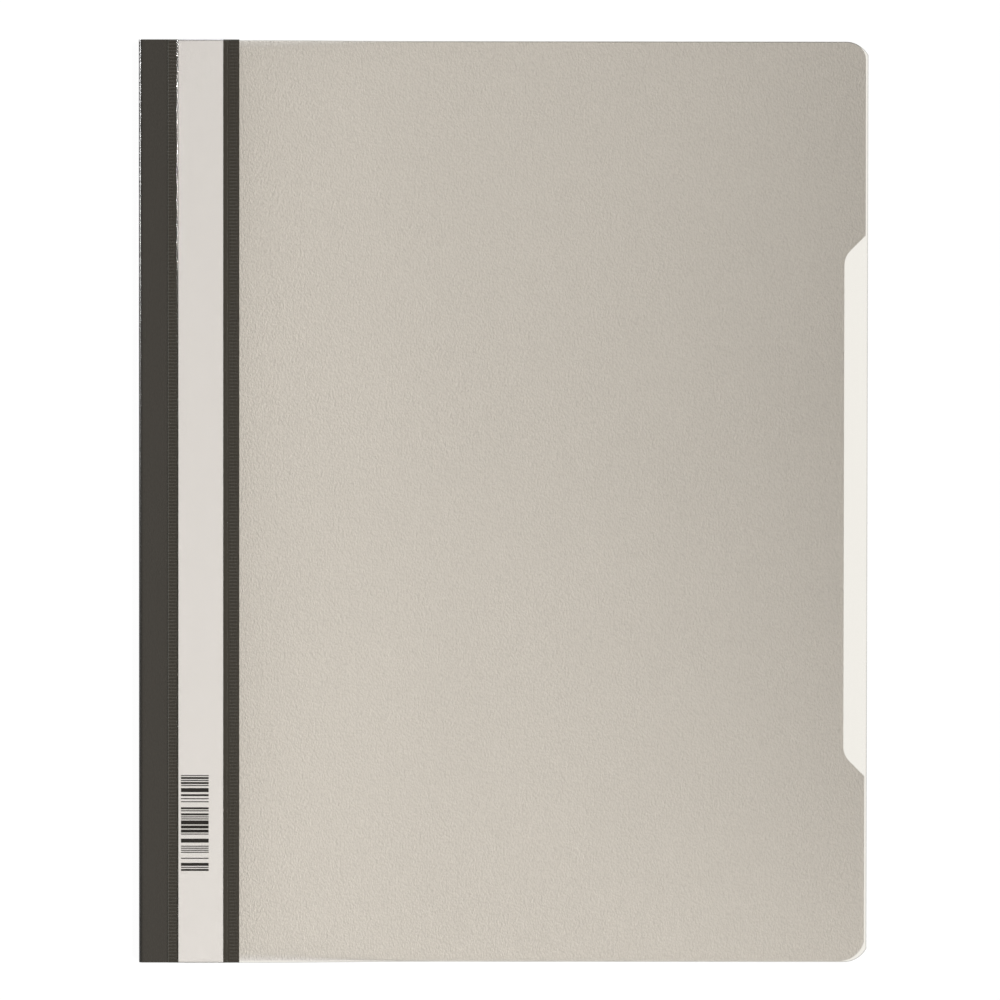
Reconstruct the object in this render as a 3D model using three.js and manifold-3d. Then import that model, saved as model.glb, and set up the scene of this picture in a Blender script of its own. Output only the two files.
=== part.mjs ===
// Clear view folder for A4 paper, lying shut on its back cover.
//
// Millimetres. X runs from the spine to the fore edge, Y from the foot to the head and Z up.
// The pieces are drawn with X = 0 at the spine's outer edge, and the whole folder is then moved
// so that the origin lies under its middle, on the surface that it rests on.
//
// Six real pieces make it up. Three of them are sheets that bend at a line, and each of those
// is parted at its bending line: the spine strip into filing strip, spine fold and front strip,
// the clear front sheet into label window and front cover, and the steel fastener into its base
// and two prongs.

import * as THREE from 'three';
import { mergeVertices } from 'three/addons/utils/BufferGeometryUtils.js';
import Module from 'manifold-3d';

const wasm = await Module();
wasm.setup();

// Overall size
const folderWidth = 245;
const folderHeight = 310;

// Sheet thicknesses
const backSheet = 0.35;
const stripSheet = 0.35;
const clearSheet = 0.2;
const labelSheet = 0.25;
const steelSheet = 0.4;

// Clearances
const layGap = 0.05; // between sheets that lie on one another
const partingGap = 0.05; // each side of the line where the spine strip is parted
const creaseGap = 0.15; // each side of the crease in the clear sheet
const barGap = 0.2; // between the cover bar and the front strip above it
const prongGap = 0.1; // round the bend of a prong and under a folded prong

// Back cover: cut slightly smaller than the clear cover over it
const backForeInset = 0.8;
const backEndInset = 0.3;
const backSpineInset = 0.6;
const backHeadRadius = 6.2;
const backFootRadius = 8.8;
const backFootOverhang = 0.3; // how far the corner cutter's round stands past the fore edge

// Grip cut-out in the back cover's fore edge
const gripLength = 182;
const gripDepth = 7.1;
const gripDrop = 1.3; // below the middle of the folder's height
const gripBlendRadius = 7;
const gripFlankAngle = Math.PI / 4;

// Spine fold
const foldSpread = 1; // from the fold's middle to the hinge line

// Filing strip: raised pocket over the fastener's base, welded down on both sides of it
const pocketMargin = 1.5; // from the cover bar's side to the pocket's
const pocketRamp = 1;
const filingSeamStart = 4; // from the spine's outer edge to the nearer seam
const filingEdgeMargin = 0.2; // from the farther seam to the filing strip's fore edge

// Clear sheet over the front strip: label channel between two ladder seams
const windowStart = 9.8;
const seamWidth = 3;
const windowRamp = 0.4;
const labelWidth = 15;
const labelSideGap = 0.2;
const labelSideRoom = 1; // more room in the channel, on the side away from the spine
const seamSetback = 0.3; // flat film between the channel and the second seam
const seamEdgeMargin = 0.5; // from the second seam to the front strip's fore edge
const creaseSetback = 1.8; // from the front strip's fore edge to the crease
const rungPitch = 1.124;
const rungHeight = 0.12;
const rungFoot = 0.02; // lowest part of the seam above the film
const rungMargin = 0.8; // from the last rung to the film's end

// Front cover: lies in an S-curve from the crease down to the back cover
const drapeLength = 66;
const drapeSteps = 14;
const coverCornerRadius = 8.8;
const coverCornerOverhang = 1.1;

// Steel fastener
const prongSpacing = 80;
const fastenerPlace = 20; // its centre line from the spine's outer edge
const fastenerWidth = 5.5;
const fastenerBend = 0.2; // inside radius at the foot of a prong
const prongTipGap = 2; // between the tips of the two folded prongs
const slitSideGap = 0.3;
const slitBendGap = 0.1; // from the bend at a prong's foot to its slit's end

// Cover bar
const barEndMargin = 10; // from a prong's line to the bar's end
const barWidth = 13;
const barFloor = 0.8;
const barBevel = 0.3;
const channelDepth = 1;
const channelSideGap = 0.5;
const channelEndWall = 3;
const slotInner = 5.5; // from the prong's line towards the bar's middle
const slotOuter = 0.8; // from the prong's line towards the bar's end

// Levels, from the back cover up
const backTop = backSheet;
const filingWeldLevel = backTop + layGap;
const baseLevel = backTop + layGap;
const pocketLevel = baseLevel + steelSheet + layGap;
const barLevel = pocketLevel + stripSheet + layGap;
const barFloorTop = barLevel + barFloor;
const barTop = barFloorTop + channelDepth;
const prongLevel = barFloorTop + prongGap + steelSheet / 2;
const frontLegLevel = barTop + barGap;
const frontLegTop = frontLegLevel + stripSheet;
const seamLevel = frontLegTop + layGap;
const labelLevel = frontLegTop + layGap;
const channelLevel = labelLevel + labelSheet + layGap;
const windowTop = channelLevel + clearSheet;
const coverLevel = backTop + layGap;

// Spine fold: the half round that joins the strip's two legs. The hinge line lies nearer to the
// outer edge than the fold's middle does, so that the legs leave it room between them when open.
const foldRadius = (frontLegLevel - filingWeldLevel) / 2;
const foldMiddleX = foldRadius + stripSheet / 2;
const spineAxisX = foldMiddleX - foldSpread;
const spineAxisZ = filingWeldLevel + stripSheet / 2 + foldRadius;

// Places across the front strip
const firstSeamEnd = windowStart + seamWidth;
const channelStart = firstSeamEnd + windowRamp;
const labelStart = channelStart + labelSideGap;
const labelEnd = labelStart + labelWidth;
const channelEnd = labelEnd + labelSideGap + labelSideRoom;
const secondSeamStart = channelEnd + windowRamp + seamSetback;
const frontLegWidth = secondSeamStart + seamWidth + seamEdgeMargin;

// Crease axis: level with the top of the label window, so that the cover can be folded right over
const creaseAxisX = frontLegWidth + creaseSetback;
const creaseAxisZ = windowTop;

// Places across the filing strip
const pocketStart = fastenerPlace - barWidth / 2 - pocketMargin;
const pocketEnd = fastenerPlace + barWidth / 2 + pocketMargin;
const foreSeamStart = pocketEnd + pocketRamp;
const filingLegWidth = foreSeamStart + seamWidth + filingEdgeMargin;

// Prongs and cover bar
const prongBendY = prongSpacing / 2;
const prongRoot = steelSheet; // the bend itself takes up this much of the prong
const prongLength = (prongSpacing - prongTipGap) / 2;
const barLength = prongSpacing + 2 * barEndMargin;
const barHeight = barFloor + channelDepth;
const channelWidth = fastenerWidth + 2 * channelSideGap;

// Finishes, as the photograph shows them or, inside, as such folders have them
const finish = (color, roughness, metalness, extra = {}) =>
  new THREE.MeshStandardMaterial({ color, roughness, metalness, ...extra });

const greyGrained = finish(0xd9d8d5, 0.6, 0);
const darkGrained = finish(0x46433e, 0.45, 0);
const clearFilm = finish(0xf2ece0, 0.12, 0, { transparent: true, opacity: 0.25 });
const whiteCard = finish(0xf3f2f1, 0.85, 0);
const brightSteel = finish(0xb9bbbd, 0.3, 1);
const barPlastic = finish(0x2c2b2a, 0.5, 0);

// Solids and booleans

function solidOf(geometry) {
  const bare = geometry.clone();
  bare.deleteAttribute('normal');
  bare.deleteAttribute('uv');
  const merged = mergeVertices(bare, 1e-4);
  return new wasm.Manifold(
    new wasm.Mesh({
      numProp: 3,
      vertProperties: new Float32Array(merged.attributes.position.array),
      triVerts: new Uint32Array(merged.index.array),
    }),
  );
}

function geometryOf(solid) {
  const mesh = solid.getMesh();
  const geometry = new THREE.BufferGeometry();
  geometry.setAttribute('position', new THREE.BufferAttribute(mesh.vertProperties, 3));
  geometry.setIndex(new THREE.BufferAttribute(mesh.triVerts, 1));
  geometry.computeVertexNormals();
  return geometry;
}

function cut(geometry, ...tools) {
  let solid = solidOf(geometry);
  for (const tool of tools) {
    solid = solid.subtract(solidOf(tool));
  }
  return geometryOf(solid);
}

function join(geometry, ...others) {
  let solid = solidOf(geometry);
  for (const other of others) {
    solid = solid.add(solidOf(other));
  }
  return geometryOf(solid);
}

function common(geometry, other) {
  return geometryOf(solidOf(geometry).intersect(solidOf(other)));
}

// Extrusions

const alongX = new THREE.Vector3(1, 0, 0);
const alongY = new THREE.Vector3(0, 1, 0);
const alongZ = new THREE.Vector3(0, 0, 1);

// A level sheet or block: an outline in X and Y, raised from one level by its height.
function raised(outline, level, height, options = {}) {
  const geometry = new THREE.ExtrudeGeometry(outline, {
    depth: height,
    bevelEnabled: false,
    curveSegments: 12,
    ...options,
  });
  return geometry.translate(0, 0, level);
}

// A sheet that keeps one section over its whole length: an outline in X and Z, run along Y.
function runAlongY(outline, length) {
  const geometry = new THREE.ExtrudeGeometry(outline, {
    depth: length,
    bevelEnabled: false,
    curveSegments: 16,
  });
  const turn = new THREE.Matrix4().makeBasis(alongX, alongZ, alongY.clone().negate());
  return geometry.applyMatrix4(turn).translate(0, length / 2, 0);
}

// A strip that keeps one section over its width: an outline in Y and Z, run along X.
function runAlongX(outline, start, width) {
  const geometry = new THREE.ExtrudeGeometry(outline, {
    depth: width,
    bevelEnabled: false,
    curveSegments: 6,
  });
  const turn = new THREE.Matrix4().makeBasis(alongY, alongZ, alongX);
  return geometry.applyMatrix4(turn).translate(start, 0, 0);
}

function block(centreX, centreY, bottom, sizeX, sizeY, sizeZ) {
  return new THREE.BoxGeometry(sizeX, sizeY, sizeZ).translate(centreX, centreY, bottom + sizeZ / 2);
}

// The section of a sheet from the line of its underside, given as [x, z] points.
function sheetSection(underside, thickness) {
  const upper = underside.map(([x, z]) => [x, z + thickness]).reverse();
  const points = [...underside, ...upper].map(([x, z]) => new THREE.Vector2(x, z));
  return new THREE.Shape(points);
}

function roundEnded(centreX, width, length) {
  const radius = width / 2;
  const straight = length / 2 - radius;
  const shape = new THREE.Shape();
  shape.moveTo(centreX + radius, -straight);
  shape.lineTo(centreX + radius, straight);
  shape.absarc(centreX, straight, radius, 0, Math.PI, false);
  shape.lineTo(centreX - radius, -straight);
  shape.absarc(centreX, -straight, radius, Math.PI, 2 * Math.PI, false);
  return shape;
}

// Cover outline, anticlockwise from its spine corner at the foot. A corner cutter's round meets
// the head or foot edge smoothly; where it stands past the fore edge, it meets that at an angle.
function coverOutline({ start, fore, halfHeight, head, foot, grip }) {
  const footReach = foot.radius - foot.overhang;
  const headReach = head.radius - head.overhang;
  const footMeet = Math.acos(footReach / foot.radius);
  const headMeet = Math.acos(headReach / head.radius);
  const footCentreY = -halfHeight + foot.radius;
  const headCentreY = halfHeight - head.radius;
  const shape = new THREE.Shape();
  shape.moveTo(start, -halfHeight);
  shape.lineTo(fore - footReach, -halfHeight);
  shape.absarc(fore - footReach, footCentreY, foot.radius, -Math.PI / 2, -footMeet, false);
  if (grip) {
    addGrip(shape, fore);
  }
  shape.lineTo(fore, headCentreY + head.radius * Math.sin(headMeet));
  shape.absarc(fore - headReach, headCentreY, head.radius, headMeet, Math.PI / 2, false);
  shape.lineTo(start, halfHeight);
  shape.closePath();
  return shape;
}

// The grip cut-out: slanting flanks that blend into a straight inner edge.
function addGrip(shape, fore) {
  const middle = -gripDrop;
  const inner = fore - gripDepth;
  const flankRun = gripDepth / Math.tan(gripFlankAngle);
  const tangent = gripBlendRadius * Math.tan(gripFlankAngle / 2);
  const blendX = inner + gripBlendRadius;
  const blendY = gripLength / 2 - flankRun - tangent;
  shape.lineTo(fore, middle - gripLength / 2);
  shape.absarc(blendX, middle - blendY, gripBlendRadius, Math.PI + gripFlankAngle, Math.PI, true);
  shape.absarc(blendX, middle + blendY, gripBlendRadius, Math.PI, Math.PI - gripFlankAngle, true);
  shape.lineTo(fore, middle + gripLength / 2);
}

// Back cover: the grained sheet that everything else is welded to
function backCover() {
  const outline = coverOutline({
    start: backSpineInset,
    fore: folderWidth - backForeInset,
    halfHeight: folderHeight / 2 - backEndInset,
    head: { radius: backHeadRadius, overhang: 0 },
    foot: { radius: backFootRadius, overhang: backFootOverhang },
    grip: true,
  });
  return raised(outline, 0, backSheet);
}

// Filing strip: the spine strip's inner leg, welded to the back cover by two ladder seams, raised
// over the fastener's base and slit for its prongs
function filingStrip() {
  const underside = [
    [foldMiddleX + partingGap, filingWeldLevel],
    [pocketStart - pocketRamp, filingWeldLevel],
    [pocketStart, pocketLevel],
    [pocketEnd, pocketLevel],
    [foreSeamStart, filingWeldLevel],
    [filingLegWidth, filingWeldLevel],
  ];
  const sheet = runAlongY(sheetSection(underside, stripSheet), folderHeight);
  const seamTop = filingWeldLevel + stripSheet;
  const seams = [filingSeamStart, foreSeamStart].map((start) => ladderSeam(start, seamTop));
  const slitLength = fastenerWidth + 2 * slitSideGap;
  const slitWidth = steelSheet + 2 * (fastenerBend + slitBendGap);
  const slits = [-prongBendY, prongBendY].map((y) =>
    block(fastenerPlace, y, pocketLevel - stripSheet, slitLength, slitWidth, 3 * stripSheet),
  );
  return cut(join(sheet, ...seams), ...slits);
}

// Spine fold: the half round that joins the strip's two legs
function spineFold() {
  const shape = new THREE.Shape();
  const outer = foldRadius + stripSheet / 2;
  const inner = foldRadius - stripSheet / 2;
  shape.absarc(0, 0, outer, Math.PI / 2, (3 * Math.PI) / 2, false);
  shape.absarc(0, 0, inner, (3 * Math.PI) / 2, Math.PI / 2, true);
  shape.closePath();
  return runAlongY(shape, folderHeight).translate(foldMiddleX, 0, spineAxisZ);
}

// Front strip: the spine strip's outer leg
function frontStrip() {
  const start = foldMiddleX + partingGap;
  const width = frontLegWidth - start;
  return block(start + width / 2, 0, frontLegLevel, width, folderHeight, stripSheet);
}

// One ladder seam: a zigzag of rungs across the weld, standing a little out of the film
function ladderSeam(start, level) {
  const count = Math.floor((folderHeight - 2 * rungMargin) / rungPitch);
  const halfRun = (count * rungPitch) / 2;
  const root = level - clearSheet / 2;
  const valley = level + rungFoot;
  const crest = level + rungHeight;
  const points = [new THREE.Vector2(-halfRun, root), new THREE.Vector2(halfRun, root)];
  points.push(new THREE.Vector2(halfRun, valley));
  for (let rung = count - 1; rung >= 0; rung -= 1) {
    const foot = -halfRun + rung * rungPitch;
    points.push(new THREE.Vector2(foot + rungPitch / 2, crest));
    points.push(new THREE.Vector2(foot, valley));
  }
  return runAlongX(new THREE.Shape(points), start, seamWidth);
}

// Label window: the clear sheet's part over the front strip, with the label channel between the
// two ladder seams that weld it down
function labelWindow() {
  const underside = [
    [windowStart, seamLevel],
    [firstSeamEnd, seamLevel],
    [channelStart, channelLevel],
    [channelEnd, channelLevel],
    [channelEnd + windowRamp, seamLevel],
    [creaseAxisX - creaseGap, seamLevel],
  ];
  const film = runAlongY(sheetSection(underside, clearSheet), folderHeight);
  const seamTop = seamLevel + clearSheet;
  return join(film, ladderSeam(windowStart, seamTop), ladderSeam(secondSeamStart, seamTop));
}

function labelStrip() {
  return block((labelStart + labelEnd) / 2, 0, labelLevel, labelWidth, folderHeight, labelSheet);
}

// Front cover: from the crease down in an S-curve, then flat on the back cover
function frontCover() {
  const start = creaseAxisX + creaseGap;
  const drop = seamLevel - coverLevel;
  const underside = [];
  for (let step = 0; step <= drapeSteps; step += 1) {
    const share = step / drapeSteps;
    const level = coverLevel + (drop * (1 + Math.cos(Math.PI * share))) / 2;
    underside.push([start + drapeLength * share, level]);
  }
  underside.push([folderWidth, coverLevel]);
  const sheet = runAlongY(sheetSection(underside, clearSheet), folderHeight);
  const corner = { radius: coverCornerRadius, overhang: coverCornerOverhang };
  const outline = coverOutline({
    start: start - creaseGap,
    fore: folderWidth,
    halfHeight: folderHeight / 2,
    head: corner,
    foot: corner,
    grip: false,
  });
  return common(sheet, raised(outline, 0, windowTop + clearSheet));
}

// Fastener base: a steel strip between back cover and filing strip, its ends turned up through
// the slits as far as the prongs' bending lines
function fastenerBase() {
  const half = steelSheet / 2;
  const outerBend = fastenerBend + steelSheet;
  const outerEnd = prongBendY + half;
  const innerEnd = prongBendY - half;
  const top = prongLevel - half - prongGap;
  const bottom = baseLevel;
  const upper = bottom + steelSheet;
  const shape = new THREE.Shape();
  shape.moveTo(-outerEnd, top);
  shape.lineTo(-outerEnd, bottom + outerBend);
  shape.absarc(-outerEnd + outerBend, bottom + outerBend, outerBend, Math.PI, 1.5 * Math.PI, false);
  shape.lineTo(outerEnd - outerBend, bottom);
  shape.absarc(outerEnd - outerBend, bottom + outerBend, outerBend, -0.5 * Math.PI, 0, false);
  shape.lineTo(outerEnd, top);
  shape.lineTo(innerEnd, top);
  shape.lineTo(innerEnd, upper + fastenerBend);
  shape.absarc(innerEnd - fastenerBend, upper + fastenerBend, fastenerBend, 0, -0.5 * Math.PI, true);
  shape.lineTo(-innerEnd + fastenerBend, upper);
  shape.absarc(-innerEnd + fastenerBend, upper + fastenerBend, fastenerBend, 1.5 * Math.PI, Math.PI, true);
  shape.lineTo(-innerEnd, top);
  shape.closePath();
  return runAlongX(shape, fastenerPlace - fastenerWidth / 2, fastenerWidth);
}

// A prong, drawn from its bending line towards -Y, with a round tip
function prong() {
  const half = fastenerWidth / 2;
  const shape = new THREE.Shape();
  shape.moveTo(-half, -prongRoot);
  shape.lineTo(-half, -prongLength + half);
  shape.absarc(0, -prongLength + half, half, Math.PI, 2 * Math.PI, false);
  shape.lineTo(half, -prongRoot);
  shape.closePath();
  return raised(shape, -steelSheet / 2, steelSheet);
}

// Cover bar: a flat bar with a channel for the folded prongs and a slot over each prong's foot
function coverBar() {
  const body = raised(roundEnded(fastenerPlace, barWidth, barLength), barLevel + barBevel, barHeight - 2 * barBevel, {
    bevelEnabled: true,
    bevelThickness: barBevel,
    bevelSize: barBevel,
    bevelOffset: -barBevel,
    bevelSegments: 2,
  });
  const channelOutline = roundEnded(fastenerPlace, channelWidth, barLength - 2 * channelEndWall);
  const channel = raised(channelOutline, barFloorTop, barHeight);
  const slotLength = slotInner + slotOuter;
  const slots = [-1, 1].map((side) => {
    const middle = side * (prongBendY + (slotOuter - slotInner) / 2);
    return block(fastenerPlace, middle, barLevel - barHeight, channelWidth, slotLength, 3 * barHeight);
  });
  return cut(body, channel, ...slots);
}

// Assembly

function piece(name, geometry, material) {
  const mesh = new THREE.Mesh(geometry, material);
  mesh.name = name;
  return mesh;
}

// A group that turns about one point, holding pieces that are drawn in the folder's own place.
function turningGroup(x, y, z, ...children) {
  const pivot = new THREE.Group();
  pivot.position.set(x, y, z);
  const carried = new THREE.Group();
  carried.position.set(-x, -y, -z);
  carried.add(...children);
  pivot.add(carried);
  return pivot;
}

function prongGroup(name, side) {
  const pivot = new THREE.Group();
  pivot.position.set(fastenerPlace, side * prongBendY, prongLevel);
  const mesh = piece(name, prong(), brightSteel);
  mesh.rotation.z = side > 0 ? 0 : Math.PI;
  pivot.add(mesh);
  return pivot;
}

const binder = new THREE.Group();
binder.add(
  piece('back_cover', backCover(), greyGrained),
  piece('filing_strip', filingStrip(), darkGrained),
  piece('spine_fold', spineFold(), darkGrained),
  piece('fastener_base', fastenerBase(), brightSteel),
);

const fastener = new THREE.Group();
fastener.add(
  prongGroup('upper_prong', 1),
  prongGroup('lower_prong', -1),
  piece('cover_bar', coverBar(), barPlastic),
);

const cover = turningGroup(creaseAxisX, 0, creaseAxisZ, piece('front_cover', frontCover(), clearFilm));

const front = turningGroup(
  spineAxisX,
  0,
  spineAxisZ,
  piece('front_strip', frontStrip(), darkGrained),
  piece('label_window', labelWindow(), clearFilm),
  piece('label_strip', labelStrip(), whiteCard),
  cover,
);

const folder = new THREE.Group();
folder.add(binder, fastener, front);
folder.position.x = -folderWidth / 2;

export default folder;
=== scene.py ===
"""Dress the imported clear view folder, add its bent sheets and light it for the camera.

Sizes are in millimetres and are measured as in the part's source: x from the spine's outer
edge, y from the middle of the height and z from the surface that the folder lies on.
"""

import logging
import math
from dataclasses import dataclass
from enum import Enum

import bmesh
import bpy
from mathutils import Euler, Matrix, Vector


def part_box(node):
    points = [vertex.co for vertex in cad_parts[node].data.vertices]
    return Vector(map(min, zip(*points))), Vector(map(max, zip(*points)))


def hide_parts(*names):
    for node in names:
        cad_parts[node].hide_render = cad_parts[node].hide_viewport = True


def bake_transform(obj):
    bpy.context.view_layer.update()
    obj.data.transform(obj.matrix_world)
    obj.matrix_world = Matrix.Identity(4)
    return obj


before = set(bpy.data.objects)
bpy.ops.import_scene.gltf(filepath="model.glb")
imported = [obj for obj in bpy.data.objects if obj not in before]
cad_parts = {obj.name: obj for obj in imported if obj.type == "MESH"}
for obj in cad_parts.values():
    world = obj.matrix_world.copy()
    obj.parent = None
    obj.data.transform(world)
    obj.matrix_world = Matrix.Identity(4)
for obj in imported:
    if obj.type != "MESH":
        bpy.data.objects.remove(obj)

LOG = logging.getLogger("clear_view_folder")
MM = 0.001
SPINE_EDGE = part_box("spine_fold")[0].x
MERGE_DISTANCE = 0.001 * MM
CUT_DISTANCE = 0.0001 * MM
SHADING_ANGLE = math.radians(20)
CUT_EDGE_ANGLE = math.radians(60)
ROUND_SEGMENTS = 2
WHITE = (1, 1, 1, 1)


class Slot(Enum):
    """Names of the record's material slots, which no piece here takes."""

    SPINE = "spine_plastic"
    FILM = "clear_film"
    STEEL = "fastener_steel"


class SheetFace(Enum):
    """The material numbers of the clear sheet's faces that aren't plain film."""

    CUT = 1
    WELD = 2


class Body(Enum):
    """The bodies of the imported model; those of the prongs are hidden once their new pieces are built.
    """

    BINDER = "binder"
    FRONT_LEG = "front_leg"
    COVER = "cover"
    UPPER_PRONG = "upper_prong"
    LOWER_PRONG = "lower_prong"


def place(x: float, y: float, z: float) -> Vector:
    """Give the point of the frame that lies at these millimetres.

    Args:
        x: Distance from the spine's outer edge.
        y: Distance from the middle of the height, towards the head.
        z: Height over the surface below.

    Returns:
        The point in metres in the row's frame.
    """
    return Vector((SPINE_EDGE + x * MM, y * MM, z * MM))


def verts_of(geometry: list) -> list[bmesh.types.BMVert]:
    """Pick the vertices out of an operator's result."""
    return [item for item in geometry if isinstance(item, bmesh.types.BMVert)]


class Outline:
    """A line of edges in a bmesh, drawn on from point to point and round arcs."""

    def __init__(self, mesh: bmesh.types.BMesh, start: Vector) -> None:
        """Start the line with one vertex.

        Args:
            mesh: The mesh that the line is drawn in.
            start: The line's first point.
        """
        self.mesh = mesh
        self.tip = mesh.verts.new(start)

    def line_to(self, point: Vector) -> "Outline":
        """Draw a straight edge.

        Args:
            point: Where the edge ends.

        Returns:
            The outline, for the next call.
        """
        made = bmesh.ops.extrude_vert_indiv(self.mesh, verts=[self.tip])
        self.tip = made["verts"][0]
        self.tip.co = point
        return self

    def turn(self, centre: Vector, axis: Vector, angle: float, steps: int) -> "Outline":
        """Draw an arc.

        Args:
            centre: The arc's centre.
            axis: The direction that the arc turns about.
            angle: How far it turns, in radians.
            steps: How many edges it has.

        Returns:
            The outline, for the next call.
        """
        made = bmesh.ops.spin(
            self.mesh, geom=[self.tip], cent=centre, axis=axis, angle=angle, steps=steps
        )
        self.tip = verts_of(made["geom_last"])[0]
        return self

    def close(self) -> bmesh.types.BMFace:
        """Merge the ends if they meet and fill the line with one face.

        Returns:
            The face.
        """
        bmesh.ops.remove_doubles(self.mesh, verts=self.mesh.verts[:], dist=MERGE_DISTANCE)
        filled = bmesh.ops.contextual_create(self.mesh, geom=self.mesh.edges[:])
        return filled["faces"][0]


def finished(mesh: bmesh.types.BMesh, name: str, finishes: list[bpy.types.Material]) -> bpy.types.Object:
    """Turn a bmesh into an object at the origin, smooth but for its sharp edges.

    Args:
        mesh: The finished shape, which is freed.
        name: The new piece's name.
        finishes: Its materials, in the order of the faces' material numbers.

    Returns:
        The new object, linked to the scene.
    """
    data = bpy.data.meshes.new(name)
    mesh.to_mesh(data)
    mesh.free()
    for finish in finishes:
        data.materials.append(finish)
    data.shade_smooth()
    data.set_sharp_from_angle(angle=SHADING_ANGLE)
    piece = bpy.data.objects.new(name, data)
    bpy.context.scene.collection.objects.link(piece)
    return piece


def dress(node: str, finish: bpy.types.Material) -> None:
    """Give a CAD node its finish.

    Args:
        node: The node's name.
        finish: The material for all of its faces.
    """
    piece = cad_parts[node]
    for spot in piece.material_slots:
        spot.link = "OBJECT"
        spot.material = finish
    LOG.info("%s: CAD node, finish %s", node, finish.name)


class Recipe:
    """A material's node tree while it is being wired."""

    NOISE_LOW = 0.3
    NOISE_HIGH = 0.7

    def __init__(self, name: str) -> None:
        """Make an empty material with an output.

        Args:
            name: The material's name.
        """
        self.material = bpy.data.materials.new(name)
        self.material.use_nodes = True
        self.tree = self.material.node_tree
        self.tree.nodes.clear()
        self.output = self.add("ShaderNodeOutputMaterial")
        self.where = self.add("ShaderNodeTexCoord").outputs["Object"]

    def add(self, kind: str, **settings: object) -> bpy.types.Node:
        """Add a node.

        Args:
            kind: The node's type.
            **settings: Properties of the node to set.

        Returns:
            The new node.
        """
        node = self.tree.nodes.new(kind)
        for key, value in settings.items():
            setattr(node, key, value)
        return node

    def put(self, node: bpy.types.Node, **values: object) -> bpy.types.Node:
        """Set or link a node's inputs.

        Args:
            node: The node.
            **values: A number, colour or output for each input, named with _ for a space.

        Returns:
            The same node.
        """
        for key, value in values.items():
            socket = node.inputs[key.replace("_", " ")]
            if isinstance(value, bpy.types.NodeSocket):
                self.tree.links.new(value, socket)
            else:
                socket.default_value = value
        return node

    def maths(self, operation: str, *values: object) -> bpy.types.NodeSocket:
        """Work out one number from others.

        Args:
            operation: The Math node's operation.
            *values: Numbers or outputs, in the order of its inputs.

        Returns:
            The result's output.
        """
        node = self.add("ShaderNodeMath", operation=operation)
        for socket, value in zip(node.inputs, values):
            if isinstance(value, bpy.types.NodeSocket):
                self.tree.links.new(value, socket)
            else:
                socket.default_value = value
        return node.outputs[0]

    def noise(self, scale: float, detail: float, stretch: tuple[float, float, float] = (1, 1, 1),
              distortion: float = 0.0) -> bpy.types.NodeSocket:
        """Add noise on Object coordinates.

        Args:
            scale: Lumps in a metre.
            detail: How many finer layers it has.
            stretch: Scale along each axis.
            distortion: How far the lumps are drawn out of shape.

        Returns:
            The noise's value.
        """
        mapping = self.put(self.add("ShaderNodeMapping"), Vector=self.where, Scale=stretch)
        grain = self.put(
            self.add("ShaderNodeTexNoise"),
            Vector=mapping.outputs[0],
            Scale=scale,
            Detail=detail,
            Distortion=distortion,
        )
        return grain.outputs[0]

    def between(self, value: object, low: tuple, high: tuple, start: float = 0.0,
                end: float = 1.0) -> bpy.types.NodeSocket:
        """Fade from one colour to another.

        Args:
            value: The output that drives it.
            low: The colour at and below start.
            high: The colour at and above end.
            start: Where the fade starts.
            end: Where it ends.

        Returns:
            The colour's output.
        """
        ramp = self.put(self.add("ShaderNodeValToRGB"), Fac=value)
        ramp.color_ramp.elements[0].position = start
        ramp.color_ramp.elements[0].color = (*low, 1)
        ramp.color_ramp.elements[1].position = end
        ramp.color_ramp.elements[1].color = (*high, 1)
        return ramp.outputs[0]

    def spread(self, value: object, low: float, high: float) -> bpy.types.NodeSocket:
        """Map a noise's usual range to a range of numbers.

        Args:
            value: The noise's output.
            low: The number where the noise is low.
            high: The number where it is high.

        Returns:
            The number's output.
        """
        node = self.put(self.add("ShaderNodeMapRange"), Value=value)
        node.inputs["From Min"].default_value = self.NOISE_LOW
        node.inputs["From Max"].default_value = self.NOISE_HIGH
        node.inputs["To Min"].default_value = low
        node.inputs["To Max"].default_value = high
        return node.outputs[0]

    def bump(self, height: object, depth: float, strength: float = 1.0) -> bpy.types.NodeSocket:
        """Turn a height into a normal.

        Args:
            height: The output that gives the height.
            depth: How far 0 to 1 stands out, in metres.
            strength: Its share.

        Returns:
            The normal's output.
        """
        node = self.put(self.add("ShaderNodeBump"), Height=height, Strength=strength, Distance=depth)
        return node.outputs[0]

    def close(self, shader: bpy.types.Node) -> bpy.types.Material:
        """Link the shader to the output.

        Args:
            shader: The node that gives the surface.

        Returns:
            The finished material.
        """
        self.tree.links.new(shader.outputs[0], self.output.inputs["Surface"])
        return self.material


def shade(colour: tuple[float, float, float], share: float) -> tuple[float, float, float]:
    """Make a colour lighter or darker.

    Args:
        colour: The colour's red, green and blue.
        share: What each of them is multiplied by.

    Returns:
        The new colour.
    """
    return tuple(part * share for part in colour)


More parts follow.
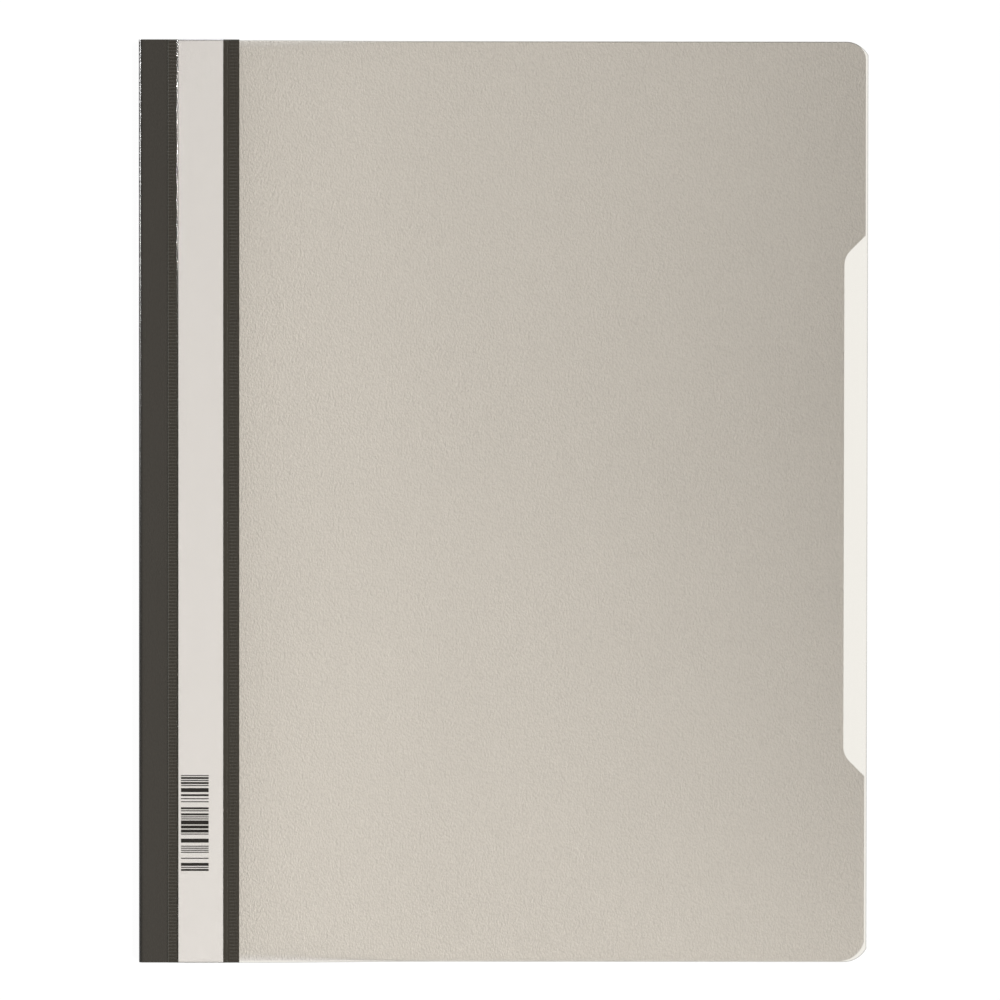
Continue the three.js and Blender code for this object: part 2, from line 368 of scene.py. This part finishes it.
@dataclass(frozen=True)
class GrainedPlastic:
    """Plastic sheet with an embossed grain of small pebbles, a little scuffed."""

    name: str
    colour: tuple[float, float, float]
    pebbles: float
    relief: float
    mottle: float
    roughness: float
    gloss: float = 0.5
    drawn_out: tuple[float, float, float] = (1.15, 0.75, 1.0)
    distortion: float = 0.8
    cell_scale: float = 0.8
    cell_smoothness: float = 0.6
    cell_depth: float = 0.6
    fine_scale: float = 5.0
    fine_depth: float = 0.12
    patch_scale: float = 9.0
    patch_depth: float = 0.25
    tone_start: float = 0.05
    tone_end: float = 0.6
    scuff_change: float = 0.05

    def make(self) -> bpy.types.Material:
        """Wire the material.

        Returns:
            The material.
        """
        recipe = Recipe(self.name)
        lumps = recipe.noise(self.pebbles, 2.0, self.drawn_out, self.distortion)
        mapping = recipe.put(recipe.add("ShaderNodeMapping"), Vector=recipe.where, Scale=self.drawn_out)
        cells = recipe.add("ShaderNodeTexVoronoi", feature="SMOOTH_F1")
        recipe.put(
            cells,
            Vector=mapping.outputs[0],
            Scale=self.pebbles * self.cell_scale,
            Smoothness=self.cell_smoothness,
        )
        grain = recipe.maths("MULTIPLY_ADD", cells.outputs["Distance"], -self.cell_depth, lumps)
        fine = recipe.noise(self.pebbles * self.fine_scale, 3.0)
        height = recipe.maths("MULTIPLY_ADD", fine, self.fine_depth, grain)
        normal = recipe.bump(height, self.relief)
        patches = recipe.noise(self.patch_scale, 2.0)
        tone = recipe.maths("MULTIPLY_ADD", patches, self.patch_depth, grain)
        colour = recipe.between(
            tone,
            shade(self.colour, 1 - self.mottle),
            shade(self.colour, 1 + self.mottle),
            self.tone_start,
            self.tone_end,
        )
        scuffs = recipe.noise(scale=260, detail=4.0, stretch=(1.0, 0.06, 1.0), distortion=0.3)
        rough = recipe.spread(
            scuffs, self.roughness + self.scuff_change, self.roughness - self.scuff_change
        )
        shader = recipe.put(
            recipe.add("ShaderNodeBsdfPrincipled"),
            Base_Color=colour,
            Roughness=rough,
            Normal=normal,
            Specular_IOR_Level=self.gloss,
        )
        return recipe.close(shader)


@dataclass(frozen=True)
class ClearFilm:
    """Clear film: what lies under it shows, and a slightly wavy gloss lies over it."""

    name: str
    tint: tuple[float, float, float]
    gloss: float
    roughness: float
    wave: float
    wave_size: float
    haze: float
    haze_colour: tuple[float, float, float]
    index: float = 1.49
    smear_roughness: float = 1.5
    haze_change: float = 0.2

    def make(self) -> bpy.types.Material:
        """Wire the material.

        Returns:
            The material.
        """
        recipe = Recipe(self.name)
        waves = recipe.noise(self.wave_size, detail=2.0, stretch=(1.0, 0.5, 1.0))
        normal = recipe.bump(waves, self.wave)
        back = recipe.add("ShaderNodeNewGeometry").outputs["Backfacing"]
        index = recipe.maths("MULTIPLY_ADD", back, 1 / self.index - self.index, self.index)
        fresnel = recipe.put(recipe.add("ShaderNodeFresnel"), IOR=index, Normal=normal)
        share = recipe.maths("MULTIPLY", fresnel.outputs[0], self.gloss)
        smears = recipe.noise(scale=38, detail=4.0, stretch=(1.0, 0.35, 1.0), distortion=0.4)
        rough = recipe.spread(smears, self.roughness, self.roughness * self.smear_roughness)
        clear = recipe.put(recipe.add("ShaderNodeBsdfTransparent"), Color=(*self.tint, 1))
        milk = recipe.put(recipe.add("ShaderNodeBsdfDiffuse"), Color=(*self.haze_colour, 1))
        least = self.haze * (1 - self.haze_change)
        most = self.haze * (1 + self.haze_change)
        cloud = recipe.put(recipe.add("ShaderNodeMixShader"), Fac=recipe.spread(smears, least, most))
        recipe.tree.links.new(clear.outputs[0], cloud.inputs[1])
        recipe.tree.links.new(milk.outputs[0], cloud.inputs[2])
        gloss = recipe.put(recipe.add("ShaderNodeBsdfAnisotropic"), Roughness=rough, Normal=normal)
        gloss.inputs["Color"].default_value = WHITE
        mixed = recipe.put(recipe.add("ShaderNodeMixShader"), Fac=share)
        recipe.tree.links.new(cloud.outputs[0], mixed.inputs[1])
        recipe.tree.links.new(gloss.outputs[0], mixed.inputs[2])
        return recipe.close(mixed)


@dataclass(frozen=True)
class LabelCard:
    """White card with a faint fibre and, near its foot, a made-up block of printed bars.

    A Mix node has sockets of one name for each kind of data, so its colour sockets are
    picked by number.
    """

    MIX_FACTOR = 0
    MIX_PAPER = 6
    MIX_INK = 7
    MIX_RESULT = 2

    name: str
    colour: tuple[float, float, float]
    ink: tuple[float, float, float]
    bars_middle: tuple[float, float]
    bars_size: tuple[float, float]
    module: float
    unprinted_share: float = 0.54
    fibre_tone: float = 0.015
    fibre_relief: float = 0.012 * MM
    roughness: tuple[float, float] = (0.62, 0.75)

    def make(self) -> bpy.types.Material:
        """Wire the material.

        Returns:
            The material.
        """
        recipe = Recipe(self.name)
        fibre = recipe.noise(scale=1500, detail=4.0, stretch=(1.0, 0.3, 1.0), distortion=0.5)
        paper = recipe.between(
            fibre,
            shade(self.colour, 1 - self.fibre_tone),
            shade(self.colour, 1 + self.fibre_tone),
            recipe.NOISE_LOW,
            recipe.NOISE_HIGH,
        )
        middle = place(*self.bars_middle, 0)
        axes = recipe.put(recipe.add("ShaderNodeSeparateXYZ"), Vector=recipe.where)
        across = recipe.maths("COMPARE", axes.outputs["X"], middle.x, self.bars_size[0] * MM / 2)
        along = recipe.maths("COMPARE", axes.outputs["Y"], middle.y, self.bars_size[1] * MM / 2)
        count = recipe.maths("FLOOR", recipe.maths("DIVIDE", axes.outputs["Y"], self.module * MM))
        rhythm = recipe.add("ShaderNodeTexWhiteNoise", noise_dimensions="1D")
        recipe.put(rhythm, W=count)
        bar = recipe.maths("GREATER_THAN", rhythm.outputs["Value"], self.unprinted_share)
        block = recipe.maths("MULTIPLY", across, along)
        printed = recipe.maths("MULTIPLY", bar, block)
        colour = recipe.add("ShaderNodeMix", data_type="RGBA")
        recipe.tree.links.new(printed, colour.inputs[self.MIX_FACTOR])
        recipe.tree.links.new(paper, colour.inputs[self.MIX_PAPER])
        colour.inputs[self.MIX_INK].default_value = (*self.ink, 1)
        shader = recipe.put(
            recipe.add("ShaderNodeBsdfPrincipled"),
            Base_Color=colour.outputs[self.MIX_RESULT],
            Roughness=recipe.spread(fibre, *self.roughness),
            Normal=recipe.bump(fibre, self.fibre_relief),
        )
        return recipe.close(shader)


@dataclass(frozen=True)
class TinnedSteel:
    """Bright tinned strip steel, drawn along its length, with a few duller patches."""

    name: str
    colour: tuple[float, float, float]
    line_relief: float = 0.006 * MM
    line_roughness: tuple[float, float] = (0.2, 0.3)
    patch_roughness: tuple[float, float] = (0.0, 0.12)
    patch_tone: tuple[float, float] = (0.9, 1.06)
    patch_range: tuple[float, float] = (0.35, 0.65)

    def make(self) -> bpy.types.Material:
        """Wire the material.

        Returns:
            The material.
        """
        recipe = Recipe(self.name)
        drawn = recipe.noise(scale=2400, detail=3.0, stretch=(1.0, 0.03, 1.0))
        patches = recipe.noise(scale=160, detail=3.0, stretch=(1.0, 0.6, 1.0), distortion=0.6)
        line_rough = recipe.spread(drawn, *self.line_roughness)
        patch_rough = recipe.spread(patches, *self.patch_roughness)
        rough = recipe.maths("ADD", line_rough, patch_rough)
        dull, bright = (shade(self.colour, share) for share in self.patch_tone)
        colour = recipe.between(patches, dull, bright, *self.patch_range)
        shader = recipe.put(
            recipe.add("ShaderNodeBsdfPrincipled"),
            Base_Color=colour,
            Metallic=1.0,
            Roughness=rough,
            Normal=recipe.bump(drawn, self.line_relief),
        )
        return recipe.close(shader)


@dataclass(frozen=True)
class MouldedPlastic:
    """Black moulded plastic with the fine texture of a spark-eroded mould."""

    name: str
    colour: tuple[float, float, float]
    texture_relief: float = 0.01 * MM
    flow_tone: tuple[float, float] = (0.85, 1.2)
    roughness: tuple[float, float] = (0.42, 0.52)

    def make(self) -> bpy.types.Material:
        """Wire the material.

        Returns:
            The material.
        """
        recipe = Recipe(self.name)
        texture = recipe.noise(scale=3200, detail=2.0)
        flow = recipe.noise(scale=70, detail=3.0, stretch=(1.0, 0.3, 1.0), distortion=0.8)
        dark, pale = (shade(self.colour, share) for share in self.flow_tone)
        colour = recipe.between(flow, dark, pale, recipe.NOISE_LOW, recipe.NOISE_HIGH)
        shader = recipe.put(
            recipe.add("ShaderNodeBsdfPrincipled"),
            Base_Color=colour,
            Roughness=recipe.spread(flow, *self.roughness),
            Normal=recipe.bump(texture, self.texture_relief),
        )
        return recipe.close(shader)


@dataclass
class BackCover:
    """The grained back cover, whose CAD solid is kept."""

    finish: GrainedPlastic = GrainedPlastic(
        name="grained_grey_sheet",
        colour=(0.75, 0.732, 0.735),
        pebbles=1700.0,
        relief=0.18 * MM,
        mottle=0.06,
        roughness=0.5,
    )

    def build(self) -> None:
        """Dress the CAD node."""
        dress("back_cover", self.finish.make())


@dataclass
class SpineStrip:
    """The dark spine strip: its welded inner leg in CAD, its fold and front leg as one sheet."""

    thickness: float = 0.35
    fold_middle: tuple[float, float] = (1.6, 2.0)
    fold_outer: float = 1.6
    front_width: float = 33.8
    half_height: float = 155.0
    parting: float = 1.65
    fold_end_gap: float = 1.0
    fold_steps: int = 28
    edge_round: float = 0.06
    finish: GrainedPlastic = GrainedPlastic(
        name="dark_spine_sheet",
        colour=(0.0555, 0.0502, 0.0425),
        pebbles=1900.0,
        relief=0.03 * MM,
        mottle=0.05,
        roughness=0.27,
        gloss=0.45,
    )

    def build(self) -> None:
        """Build the folded sheet and dress the inner leg."""
        finish = self.finish.make()
        dress("filing_strip", finish)
        mesh = bmesh.new()
        self.draw_section(mesh)
        self.run_to_head(mesh)
        self.give_thickness(mesh)
        piece = finished(mesh, "spine_strip", [finish])
        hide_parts("spine_fold", "front_strip")
        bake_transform(piece)
        LOG.info("spine_strip: %d faces", len(piece.data.polygons))

    def draw_section(self, mesh: bmesh.types.BMesh) -> None:
        """Draw the sheet's outer side at the foot, from the parting line to the fore edge.

        Args:
            mesh: The mesh to draw in.
        """
        middle_x, middle_z = self.fold_middle
        foot = -self.half_height
        low = middle_z - self.fold_outer
        high = middle_z + self.fold_outer
        line = Outline(mesh, place(self.parting, foot, low))
        line.line_to(place(middle_x, foot, low))
        line.turn(place(middle_x, foot, middle_z), Vector((0, 1, 0)), math.pi, self.fold_steps)
        line.line_to(place(self.parting + self.fold_end_gap, foot, high))
        line.line_to(place(self.front_width, foot, high))

    def run_to_head(self, mesh: bmesh.types.BMesh) -> None:
        """Run the section along the folder's height.

        Args:
            mesh: The mesh that holds the section.
        """
        made = bmesh.ops.extrude_edge_only(mesh, edges=mesh.edges[:])
        run = Vector((0, 2 * self.half_height * MM, 0))
        bmesh.ops.translate(mesh, verts=verts_of(made["geom"]), vec=run)
        bmesh.ops.recalc_face_normals(mesh, faces=mesh.faces[:])

    def give_thickness(self, mesh: bmesh.types.BMesh) -> None:
        """Give the sheet its thickness on the inner side and soften its cut edges.

        Args:
            mesh: The mesh that holds the sheet's outer side.
        """
        top = max(mesh.faces, key=lambda face: face.calc_center_median().z)
        if top.normal.z < 0:
            bmesh.ops.reverse_faces(mesh, faces=mesh.faces[:])
        bmesh.ops.solidify(mesh, geom=mesh.faces[:], thickness=self.thickness * MM)
        soften_sheet_edges(mesh, self.edge_round)


def soften_sheet_edges(mesh: bmesh.types.BMesh, size: float) -> None:
    """Round a sheet's cut edges.

    Args:
        mesh: The closed sheet.
        size: The round's size in millimetres.
    """
    closed = [edge for edge in mesh.edges if edge.is_manifold]
    sharp = [edge for edge in closed if edge.calc_face_angle() > CUT_EDGE_ANGLE]
    bmesh.ops.bevel(
        mesh,
        geom=sharp,
        offset=size * MM,
        segments=ROUND_SEGMENTS,
        profile=0.5,
        affect="EDGES",
        material=-1,
        clamp_overlap=True,
    )


@dataclass
class LadderSeam:
    """One ladder-pattern weld: short raised rungs across the seam, one after another."""

    start: float
    level: float
    width: float = 3.0
    pitch: float = 1.124
    count: int = 274
    rung: float = 0.42
    height: float = 0.12
    foot: float = -0.03
    end_margin: float = 0.12
    edge_round: float = 0.09
    steps_to_foot: int = 2

    def add_to(self, mesh: bmesh.types.BMesh) -> None:
        """Add the rungs to a mesh.

        Args:
            mesh: The mesh that gets them.
        """
        first = self.one_rung(mesh)
        source = bmesh.ops.duplicate(mesh, geom=first)["geom"]
        for step in range(1, self.count):
            shift = Vector((0, step * self.pitch * MM, 0))
            if step + 1 < self.count:
                copy = bmesh.ops.duplicate(mesh, geom=source)["geom"]
            else:
                copy = source
            bmesh.ops.translate(mesh, verts=verts_of(copy), vec=shift)

    def one_rung(self, mesh: bmesh.types.BMesh) -> list:
        """Shape the rung nearest the foot.

        Args:
            mesh: The mesh that gets it.

        Returns:
            The rung's vertices, edges and faces.
        """
        length = self.width - 2 * self.end_margin
        tall = self.height - self.foot
        foot_y = -(self.count - 1) * self.pitch / 2
        centre = place(self.start + self.width / 2, foot_y, self.level + self.foot + tall / 2)
        size = Matrix.Diagonal((length * MM, self.rung * MM, tall * MM, 1))
        made = bmesh.ops.create_cube(mesh, size=1, matrix=Matrix.Translation(centre) @ size)
        upper = [vert for vert in made["verts"] if vert.co.z > centre.z]
        edges = {edge for vert in upper for edge in vert.link_edges if edge.other_vert(vert) in upper}
        bevelled = bmesh.ops.bevel(
            mesh,
            geom=list(edges),
            offset=self.edge_round * MM,
            segments=ROUND_SEGMENTS,
            profile=0.5,
            affect="EDGES",
            material=-1,
        )
        # From the rounded edges, so many steps over neighbouring faces reach the whole rung.
        faces = set(bevelled["faces"])
        for _ in range(self.steps_to_foot):
            edges = {edge for face in faces for edge in face.edges}
            faces.update(near for edge in edges for near in edge.link_faces)
        for face in faces:
            face.material_index = SheetFace.WELD.value
        verts = {vert for face in faces for vert in face.verts}
        edges = {edge for face in faces for edge in face.edges}
        return [*verts, *edges, *faces]


@dataclass
class ClearSheet:
    """The clear front sheet: welded over the label, creased, and draped to the fore edge."""

    thickness: float = 0.2
    window_start: float = 9.8
    weld_level: float = 3.65
    channel: tuple[float, float] = (12.8, 30.0)
    channel_ramp: float = 0.4
    channel_rise: float = 0.3
    ramp_steps: int = 10
    second_seam: float = 30.3
    crease: float = 35.6
    crease_half_width: float = 0.3
    crease_depth: float = 0.05
    crease_gap: float = 0.15
    drape_length: float = 66.0
    drape_steps: int = 22
    cover_level: float = 0.4
    fore_edge: float = 245.0
    head_edge: float = 154.75
    foot_edge: float = -155.0
    corner_radius: float = 8.8
    corner_overhang: float = 1.1
    corner_steps: int = 10
    cut_band: float = 0.28
    blend_half_width: float = 0.6
    blend_half_steps: int = 6
    film: ClearFilm = ClearFilm(
        name="clear_sheet_film",
        tint=(0.962, 0.949, 0.918),
        gloss=1.0,
        roughness=0.09,
        wave=0.03 * MM,
        wave_size=240.0,
        haze=0.004,
        haze_colour=(0.8, 0.8, 0.8),
    )
    cut: ClearFilm = ClearFilm(
        name="clear_sheet_cut_edge",
        tint=(0.95, 0.94, 0.91),
        gloss=1.6,
        roughness=0.2,
        wave=0.02 * MM,
        wave_size=900.0,
        haze=0.17,
        haze_colour=(0.2, 0.2, 0.19),
    )
    weld: ClearFilm = ClearFilm(
        name="clear_sheet_weld",
        tint=(0.955, 0.945, 0.92),
        gloss=0.9,
        roughness=0.32,
        wave=0.02 * MM,
        wave_size=900.0,
        haze=0.019,
        haze_colour=(0.8, 0.8, 0.8),
    )

    def build(self) -> None:
        """Build the sheet with its seams, a shallow crease and its drape to the fore edge."""
        mesh = bmesh.new()
        self.draw_outline(mesh)
        self.cut_across(mesh)
        self.drape(mesh)
        bmesh.ops.solidify(mesh, geom=mesh.faces[:], thickness=self.thickness * MM)
        seam_level = self.weld_level + self.thickness
        LadderSeam(self.window_start, seam_level).add_to(mesh)
        LadderSeam(self.second_seam, seam_level).add_to(mesh)
        piece = finished(mesh, "clear_sheet", [self.film.make(), self.cut.make(), self.weld.make()])
        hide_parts("label_window", "front_cover")
        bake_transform(piece)
        LOG.info("clear_sheet: %d faces", len(piece.data.polygons))

    def draw_outline(self, mesh: bmesh.types.BMesh) -> None:
        """Draw the flat sheet with its rounded fore corners and its narrow cut band.

        Args:
            mesh: The mesh to draw in.
        """
        radius = self.corner_radius
        reach = radius - self.corner_overhang
        turn = math.pi / 2 - math.acos(reach / radius)
        centre_x = self.fore_edge - reach
        rise = radius * math.sin(math.pi / 2 - turn)
        head = self.head_edge - radius
        foot = self.foot_edge + radius
        up = Vector((0, 0, 1))
        line = Outline(mesh, place(self.window_start, self.foot_edge, 0))
        line.line_to(place(centre_x, self.foot_edge, 0))
        line.turn(place(centre_x, foot, 0), up, turn, self.corner_steps)
        line.line_to(place(self.fore_edge, head + rise, 0))
        line.turn(place(centre_x, head, 0), up, turn, self.corner_steps)
        line.line_to(place(self.window_start, self.head_edge, 0))
        line.line_to(place(self.window_start, self.foot_edge, 0))
        face = line.close()
        if face.normal.z < 0:
            bmesh.ops.reverse_faces(mesh, faces=[face])
        band = bmesh.ops.inset_region(
            mesh, faces=[face], thickness=self.cut_band * MM, use_even_offset=True, use_boundary=True
        )
        for narrow in band["faces"]:
            narrow.material_index = SheetFace.CUT.value

    def stations(self) -> list[float]:
        """List where the sheet is cut across so that it can bend there.

        Returns:
            The cuts' distances from the spine's outer edge, in millimetres.
        """
        ramp = [self.channel_ramp * step / self.ramp_steps for step in range(-1, self.ramp_steps + 2)]
        first = [self.channel[0] + run for run in ramp]
        second = [self.channel[1] - run for run in ramp]
        half = self.blend_half_steps
        bend = [self.crease + self.blend_half_width * step / half for step in range(-half, half + 1)]
        start = self.crease + self.crease_gap
        count = self.drape_steps
        hang = [start + self.drape_length * step / count for step in range(count + 1)]
        return sorted({round(station, 4) for station in [*first, *second, *bend, *hang]})

    def cut_across(self, mesh: bmesh.types.BMesh) -> None:
        """Cut the flat sheet along lines that run from foot to head.

        Args:
            mesh: The mesh that holds the flat sheet.
        """
        for station in self.stations():
            bmesh.ops.bisect_plane(
                mesh,
                geom=[*mesh.verts, *mesh.edges, *mesh.faces],
                dist=CUT_DISTANCE,
                plane_co=place(station, 0, 0),
                plane_no=(1, 0, 0),
            )

    def level_at(self, x: float) -> float:
        """Find the height of the sheet's underside.

        Args:
            x: Distance from the spine's outer edge.

        Returns:
            The height in millimetres.
        """
        start, end = self.channel
        inside = min(x - start, end - x) / self.channel_ramp
        share = min(max(inside, 0.0), 1.0)
        eased = share * share * (3 - 2 * share)
        level = self.weld_level + self.channel_rise * eased
        off_crease = abs(x - self.crease) / self.crease_half_width
        if off_crease < 1:
            level -= self.crease_depth * (1 + math.cos(math.pi * off_crease)) / 2
        hang = (x - self.crease - self.crease_gap) / self.drape_length
        fall = (1 - math.cos(math.pi * min(max(hang, 0.0), 1.0))) / 2
        return level - (self.weld_level - self.cover_level) * fall

    def drape(self, mesh: bmesh.types.BMesh) -> None:
        """Lay the flat sheet over the strip, the channel and the back cover.

        Args:
            mesh: The mesh that holds the cut sheet.
        """
        for vert in mesh.verts:
            x = (vert.co.x - SPINE_EDGE) / MM
            vert.co.z = (self.level_at(x) + self.thickness) * MM


@dataclass
class LabelStrip:
    """The label card in its channel, whose CAD solid is kept."""

    finish: LabelCard = LabelCard(
        name="white_label_card",
        colour=(0.865, 0.865, 0.92),
        ink=(0.022, 0.02, 0.018),
        bars_middle=(18.9, -108.0),
        bars_size=(9.3, 32.3),
        module=0.34,
    )

    def build(self) -> None:
        """Dress the CAD node."""
        dress("label_strip", self.finish.make())


@dataclass
class Prong:
    """One prong of the fastener: a steel strip bent over at the base's stub, with a round tip."""

    name: str
    side: int
    body: Body
    line_x: float = 20.0
    width: float = 5.5
    thickness: float = 0.4
    root_y: float = 39.7
    root_z: float = 2.05
    tip_y: float = 1.0
    upper_z: float = 2.55
    tip_steps: int = 16
    bend_steps: int = 10
    edge_round: float = 0.05

    def build(self, finish: bpy.types.Material) -> None:
        """Build the strip, bent down round the stub.

        Args:
            finish: The steel.
        """
        mesh = bmesh.new()
        root = self.flat_part(mesh)
        self.bend_down(mesh, root)
        soften_sheet_edges(mesh, self.edge_round)
        if self.side < 0:
            bmesh.ops.scale(mesh, vec=(1, -1, 1), verts=mesh.verts[:])
        bmesh.ops.recalc_face_normals(mesh, faces=mesh.faces[:])
        piece = finished(mesh, self.name, [finish])
        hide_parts(self.body.value)
        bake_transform(piece)
        LOG.info("%s: %d faces", self.name, len(piece.data.polygons))

    def flat_part(self, mesh: bmesh.types.BMesh) -> bmesh.types.BMFace:
        """Build the folded prong's flat part.

        Args:
            mesh: The mesh to build in.

        Returns:
            The face at the bend.
        """
        half = self.width / 2
        line = Outline(mesh, place(self.line_x - half, self.root_y, self.upper_z))
        line.line_to(place(self.line_x - half, self.tip_y + half, self.upper_z))
        tip = place(self.line_x, self.tip_y + half, self.upper_z)
        line.turn(tip, Vector((0, 0, 1)), math.pi, self.tip_steps)
        line.line_to(place(self.line_x + half, self.root_y, self.upper_z))
        line.line_to(place(self.line_x - half, self.root_y, self.upper_z))
        made = bmesh.ops.extrude_face_region(mesh, geom=[line.close()])
        drop = Vector((0, 0, -self.thickness * MM))
        bmesh.ops.translate(mesh, verts=verts_of(made["geom"]), vec=drop)
        bmesh.ops.recalc_face_normals(mesh, faces=mesh.faces[:])
        return max(mesh.faces, key=lambda face: face.calc_center_median().y)

    def bend_down(self, mesh: bmesh.types.BMesh, root: bmesh.types.BMFace) -> None:
        """Carry the strip on round its bend to the stub.

        Args:
            mesh: The mesh that holds the flat part.
            root: Its face at the bend.
        """
        bmesh.ops.spin(
            mesh,
            geom=[root, *root.edges, *root.verts],
            cent=place(self.line_x, self.root_y, self.root_z),
            axis=(-1, 0, 0),
            angle=math.pi / 2,
            steps=self.bend_steps,
        )


@dataclass
class Fastener:
    """The two-prong fastener and the bar that holds the sheets down."""

    steel: TinnedSteel = TinnedSteel(name="tinned_steel", colour=(0.62, 0.63, 0.64))
    plastic: MouldedPlastic = MouldedPlastic(name="black_bar_plastic", colour=(0.025, 0.024, 0.023))

    def build(self) -> None:
        """Dress the base and the bar, and build the prongs."""
        steel = self.steel.make()
        dress("fastener_base", steel)
        dress("cover_bar", self.plastic.make())
        Prong("upper_prong_strip", 1, Body.UPPER_PRONG).build(steel)
        Prong("lower_prong_strip", -1, Body.LOWER_PRONG).build(steel)


@dataclass
class Lamp:
    """One area lamp: most light matt surfaces only, and one is there to be mirrored in gloss."""

    name: str
    spot: tuple[float, float, float]
    size: tuple[float, float]
    power: float
    aim: tuple[float, float, float] = (0.0, 0.0, 0.0)
    mirrored: bool = False

    def hang(self) -> None:
        """Add the lamp to the scene."""
        light = bpy.data.lights.new(self.name, "AREA")
        light.shape = "RECTANGLE"
        light.size, light.size_y = self.size
        light.energy = self.power
        lamp = bpy.data.objects.new(self.name, light)
        bpy.context.scene.collection.objects.link(lamp)
        lamp.visible_camera = False
        lamp.visible_glossy = self.mirrored
        lamp.visible_diffuse = not self.mirrored
        lamp.location = self.spot
        lamp.rotation_euler = (Vector(self.aim) - lamp.location).to_track_quat("-Z", "Y").to_euler()


@dataclass
class Studio:
    """The pale floor, the lamps, the sky and the camera."""

    floor_half: float = 4.0
    floor_drop: float = 0.02
    floor_colour: tuple[float, float, float] = (0.06, 0.06, 0.06)
    floor_glow: float = 0.975
    sky_above: float = 0.08
    sky_around: float = 0.2
    camera_spot: tuple[float, float, float] = (-0.00364, 0.02562, 1.5)
    camera_turn: tuple[float, float, float] = (-0.9538, -0.0943, 0.0637)
    lens: float = 160.457
    sensor_width: float = 36.0
    clip_start: float = 0.05
    clip_end: float = 20.0
    lamps: tuple[Lamp, ...] = (
        Lamp("lower_right", (0.5, -0.5, 0.65), (0.35, 0.35), 31.4, aim=(-0.4, -0.3, 1.14)),
        Lamp("upper_right", (0.5, 0.5, 0.65), (0.35, 0.35), 16.6, aim=(-0.4, 0.3, 1.14)),
        Lamp("lower_corner", (0.2, -0.25, 0.15), (0.1, 0.1), 0.14, aim=(0.1, -0.25, 0.0)),
        Lamp("upper_corner", (0.2, 0.25, 0.15), (0.1, 0.1), 0.06, aim=(0.1, 0.25, 0.0)),
        Lamp("rake_right", (0.6, 0.0, 0.05), (0.2, 0.06), 1.6),
        Lamp("edge_left", (-0.85, 0.175, 0.085), (0.13, 0.05), 4.2, aim=(-0.1, 0.12, 0.0), mirrored=True),
    )

    def build(self) -> None:
        """Set the whole studio up."""
        self.lay_floor()
        self.set_sky()
        for lamp in self.lamps:
            lamp.hang()
        self.set_camera()
        bpy.context.scene.view_settings.view_transform = "Standard"

    def lay_floor(self) -> None:
        """Lay the floor, whose own colour reads as white to the camera and in reflections."""
        recipe = Recipe("pale_floor")
        path = recipe.add("ShaderNodeLightPath")
        seen = recipe.maths("MAXIMUM", path.outputs["Is Camera Ray"], path.outputs["Is Glossy Ray"])
        seen = recipe.maths("MAXIMUM", seen, path.outputs["Is Transmission Ray"])
        glow = recipe.put(
            recipe.add("ShaderNodeEmission"), Strength=recipe.maths("MULTIPLY", seen, self.floor_glow)
        )
        matt = recipe.put(recipe.add("ShaderNodeBsdfDiffuse"), Color=(*self.floor_colour, 1))
        both = recipe.add("ShaderNodeAddShader")
        recipe.tree.links.new(glow.outputs[0], both.inputs[0])
        recipe.tree.links.new(matt.outputs[0], both.inputs[1])
        mesh = bmesh.new()
        drop = Matrix.Translation((0, 0, -self.floor_drop * MM))
        bmesh.ops.create_grid(mesh, x_segments=1, y_segments=1, size=self.floor_half, matrix=drop)
        finished(mesh, "floor", [recipe.close(both)])

    def set_sky(self) -> None:
        """Give the world a plain light, palest round the horizon."""
        world = bpy.data.worlds.new("studio_sky")
        bpy.context.scene.world = world
        world.use_nodes = True
        tree = world.node_tree
        background = tree.nodes["Background"]
        background.inputs["Color"].default_value = WHITE
        direction = tree.nodes.new("ShaderNodeTexCoord")
        axes = tree.nodes.new("ShaderNodeSeparateXYZ")
        level = tree.nodes.new("ShaderNodeMapRange")
        level.inputs["To Min"].default_value = self.sky_around
        level.inputs["To Max"].default_value = self.sky_above
        tree.links.new(direction.outputs["Generated"], axes.inputs[0])
        tree.links.new(axes.outputs["Z"], level.inputs["Value"])
        tree.links.new(level.outputs[0], background.inputs["Strength"])

    def set_camera(self) -> None:
        """Put the camera where the photograph was taken from."""
        lens = bpy.data.cameras.new("camera")
        lens.lens = self.lens
        lens.sensor_width = self.sensor_width
        lens.clip_start = self.clip_start
        lens.clip_end = self.clip_end
        camera = bpy.data.objects.new("camera", lens)
        bpy.context.scene.collection.objects.link(camera)
        camera.location = self.camera_spot
        camera.rotation_euler = Euler([math.radians(turn) for turn in self.camera_turn], "XYZ")
        bpy.context.scene.camera = camera


def main() -> None:
    """Dress the frame piece by piece and light it."""
    logging.basicConfig(level=logging.INFO, format="%(name)s: %(message)s")
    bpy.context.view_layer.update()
    Studio().build()
    BackCover().build()
    SpineStrip().build()
    LabelStrip().build()
    Fastener().build()
    ClearSheet().build()


if __name__ == "__main__":
    main()
